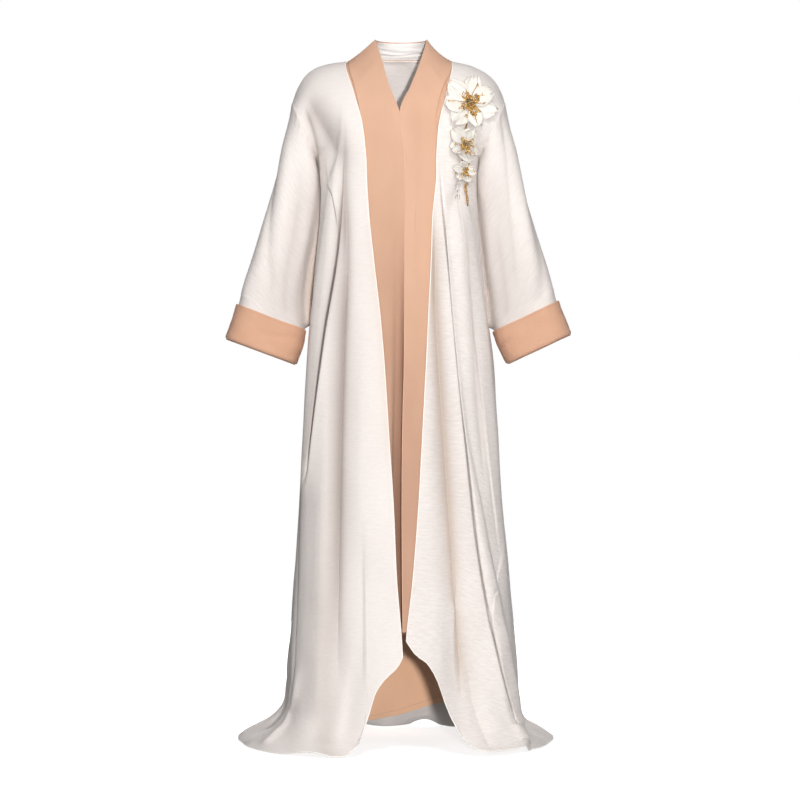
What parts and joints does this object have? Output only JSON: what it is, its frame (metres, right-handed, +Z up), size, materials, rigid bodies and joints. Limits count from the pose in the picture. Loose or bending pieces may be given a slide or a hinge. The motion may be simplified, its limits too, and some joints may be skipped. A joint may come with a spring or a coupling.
{
  "type": "abaya cloak",
  "caption": "Open floor-length abaya cloak, worn and hollow, with contrast inner fronts, turned-back cuffs and a cloth flower spray on the chest.",
  "frame": {"origin": "base of the wearer's neck, midway between the shoulders, where the garment is carried", "axes": "+Z up, -Y the way the wearer faces, +X the wearer's left"},
  "size_m": [0.7172, 0.5628, 1.4687],
  "materials": {
    "ivory_crepe": "matt slubbed crepe-linen weave",
    "peach_cloth": "matt plain weave",
    "petal_cloth": "soft organza petals",
    "gold_beads": "small polished beads",
    "silver_beads": "small polished beads"
  },
  "bodies": {
    "root": {"front_left": "ivory_crepe", "front_right": "ivory_crepe", "back": "ivory_crepe", "sleeve_left": "ivory_crepe", "sleeve_right": "ivory_crepe", "collar_facing": "ivory_crepe", "inner_front_left": "peach_cloth", "inner_front_right": "peach_cloth", "under_collar_left": "peach_cloth", "under_collar_right": "peach_cloth", "collar_back": "peach_cloth", "inner_back": "peach_cloth", "cuff_left": "peach_cloth", "cuff_right": "peach_cloth", "petal_a1": "petal_cloth", "petal_a2": "petal_cloth", "petal_a3": "petal_cloth", "petal_a4": "petal_cloth", "petal_a5": "petal_cloth", "petal_a6": "petal_cloth", "petal_a7": "petal_cloth", "petal_b1": "petal_cloth", "petal_b2": "petal_cloth", "petal_b3": "petal_cloth", "petal_b4": "petal_cloth", "petal_b5": "petal_cloth", "petal_c1": "petal_cloth", "petal_c2": "petal_cloth", "petal_c3": "petal_cloth", "petal_c4": "petal_cloth", "petal_c5": "petal_cloth", "beads_upper": "gold_beads", "beads_middle": "gold_beads", "beads_lower": "gold_beads", "bead_stem": "gold_beads", "bead_fringe": "silver_beads"}
  },
  "joints": []
}
